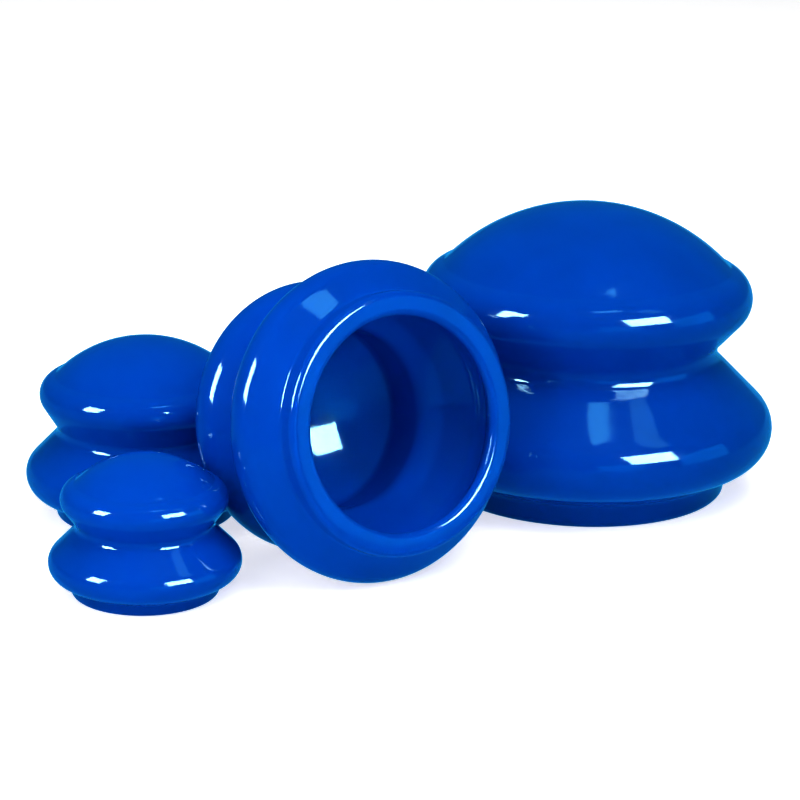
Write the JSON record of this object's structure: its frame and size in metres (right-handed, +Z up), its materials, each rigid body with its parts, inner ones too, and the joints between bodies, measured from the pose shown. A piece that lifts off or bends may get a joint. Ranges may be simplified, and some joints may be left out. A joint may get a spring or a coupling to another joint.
{
  "type": "silicone cupping cup set",
  "caption": "Nested-size set of squeezable silicone cupping cups: flanged round cups with a waist and a bulb that is pressed to draw suction.",
  "frame": {"origin": "middle of the set's footprint, on the table top", "axes": "+Z up, +X along the set's width towards the large cup, +Y towards the back of the set"},
  "size_m": [0.1466, 0.1212, 0.0574],
  "materials": {
    "blue_silicone": "glossy, slightly translucent moulded silicone"
  },
  "bodies": {
    "large_base": {"large_flange": "blue_silicone", "large_neck": "blue_silicone"},
    "large_top": {"large_bulb": "blue_silicone"},
    "medium_base": {"medium_flange": "blue_silicone", "medium_neck": "blue_silicone"},
    "medium_top": {"medium_bulb": "blue_silicone"},
    "small_base": {"small_flange": "blue_silicone", "small_neck": "blue_silicone"},
    "small_top": {"small_bulb": "blue_silicone"},
    "mini_base": {"mini_flange": "blue_silicone", "mini_neck": "blue_silicone"},
    "mini_top": {"mini_bulb": "blue_silicone"}
  },
  "joints": [
    {"name": "large_press", "type": "slide", "parent": "large_base", "child": "large_top", "axis": [0, 0, -1], "range_m": [0, 0.0085], "stiffness_N_per_m": 1200, "deforming": ["large_neck"]},
    {"name": "medium_press", "type": "slide", "parent": "medium_base", "child": "medium_top", "axis": [0.5618, -0.8024, 0.2013], "range_m": [0, 0.0065], "stiffness_N_per_m": 1000, "deforming": ["medium_neck"]},
    {"name": "small_press", "type": "slide", "parent": "small_base", "child": "small_top", "axis": [0, 0, -1], "range_m": [0, 0.005], "stiffness_N_per_m": 900, "deforming": ["small_neck"]},
    {"name": "mini_press", "type": "slide", "parent": "mini_base", "child": "mini_top", "axis": [0, 0, -1], "range_m": [0, 0.0036], "stiffness_N_per_m": 700, "deforming": ["mini_neck"]},
    {"name": "medium_slide_away", "type": "slide", "parent": "large_base", "child": "medium_base", "axis": [0.5736, -0.8192, 0], "range_m": [0, 0.06]},
    {"name": "small_slide_away", "type": "slide", "parent": "large_base", "child": "small_base", "axis": [-1, 0, 0], "range_m": [0, 0.06]},
    {"name": "mini_slide_away", "type": "slide", "parent": "large_base", "child": "mini_base", "axis": [0, -1, 0], "range_m": [0, 0.06]}
  ]
}
